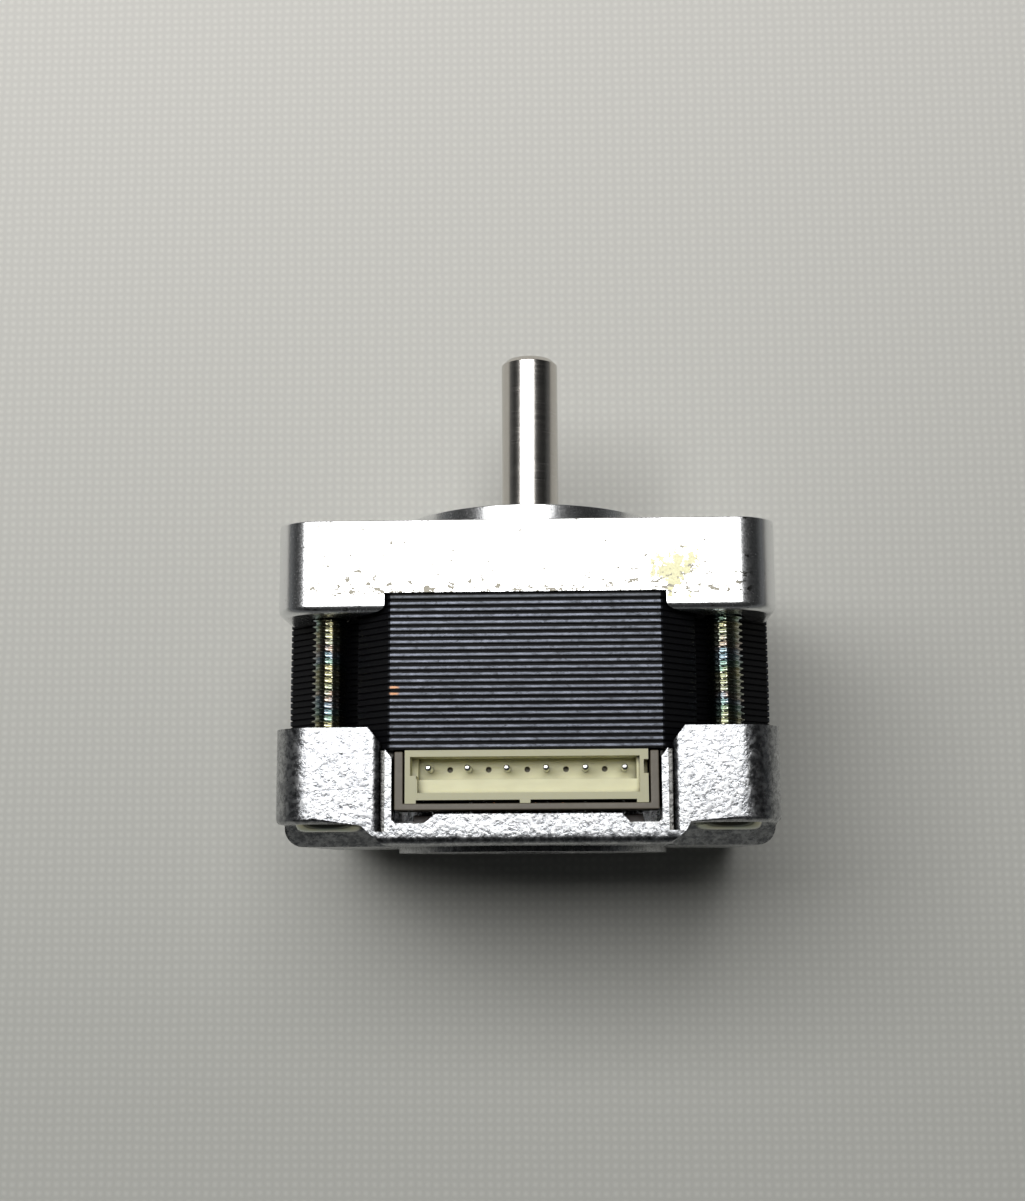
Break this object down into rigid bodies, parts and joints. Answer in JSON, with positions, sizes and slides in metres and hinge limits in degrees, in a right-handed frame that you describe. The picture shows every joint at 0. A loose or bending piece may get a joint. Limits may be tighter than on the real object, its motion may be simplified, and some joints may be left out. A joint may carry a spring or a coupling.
{
  "type": "hybrid stepper motor",
  "caption": "Square hybrid stepper motor with a plain round shaft, a pilot boss, tapped corner holes and a side plug socket.",
  "frame": {"origin": "where the shaft axis meets the mounting face of the front flange", "axes": "+Y along the shaft and out of the front, +Z out of the side with the plug socket, +X to the right seen from that side"},
  "size_m": [0.039, 0.0439, 0.039],
  "materials": {
    "cast_aluminium": "satin machined and cast",
    "cast_aluminium_rough": "rough cast",
    "electrical_steel": "varnished punched edges",
    "bobbin_nylon": "moulded",
    "enamelled_copper": "enamelled wire",
    "ground_steel": "ground along the shaft",
    "rotor_steel": "ground on the outside",
    "magnet": "sintered",
    "brass_spacer": "turned",
    "spring_steel": "rolled",
    "bearing_steel": "ground",
    "cage_brass": "pressed",
    "shield_steel": "pressed",
    "zinc_steel": "zinc plated, yellow and green tint",
    "ivory_nylon": "moulded",
    "tinned_brass": "bright tin",
    "insulating_sheet": "moulded",
    "circuit_board": "solder mask"
  },
  "bodies": {
    "motor_case": {"front_flange": "cast_aluminium", "rear_cover": "cast_aluminium_rough", "stator_stack": "electrical_steel", "front_bobbin": "bobbin_nylon", "rear_bobbin": "bobbin_nylon", "phase_a_coils": "enamelled_copper", "phase_b_coils": "enamelled_copper", "front_bearing_outer_race": "bearing_steel", "front_bearing_shields": "shield_steel", "rear_bearing_outer_race": "bearing_steel", "rear_bearing_shields": "shield_steel", "wave_spring": "spring_steel", "through_screws": "zinc_steel", "connector_housing": "ivory_nylon", "connector_pins": "tinned_brass", "connector_tray": "insulating_sheet", "terminal_board": "circuit_board", "coil_leads": "enamelled_copper"},
    "rotor": {"rotor_shaft": "ground_steel", "front_rotor_cup": "rotor_steel", "rear_rotor_cup": "rotor_steel", "rotor_magnet": "magnet", "front_spacer": "brass_spacer", "rear_spacer": "brass_spacer", "front_shim": "spring_steel", "rear_shim": "spring_steel", "front_bearing_inner_race": "bearing_steel", "rear_bearing_inner_race": "bearing_steel"},
    "front_ball_set": {"front_bearing_balls": "bearing_steel", "front_bearing_cage": "cage_brass"},
    "rear_ball_set": {"rear_bearing_balls": "bearing_steel", "rear_bearing_cage": "cage_brass"}
  },
  "joints": [
    {"name": "rotor_spin", "type": "hinge", "parent": "motor_case", "child": "rotor", "pos_m": [0, 0, 0], "axis": [0, 1, 0], "continuous": true},
    {"name": "front_ball_orbit", "type": "hinge", "parent": "motor_case", "child": "front_ball_set", "pos_m": [0, 0, 0], "axis": [0, 1, 0], "continuous": true},
    {"name": "rear_ball_orbit", "type": "hinge", "parent": "motor_case", "child": "rear_ball_set", "pos_m": [0, 0, 0], "axis": [0, 1, 0], "continuous": true}
  ],
  "couplings": [
    {"joint": "front_ball_orbit", "follows": "rotor_spin", "ratio": 0.38889},
    {"joint": "rear_ball_orbit", "follows": "rotor_spin", "ratio": 0.38889}
  ]
}
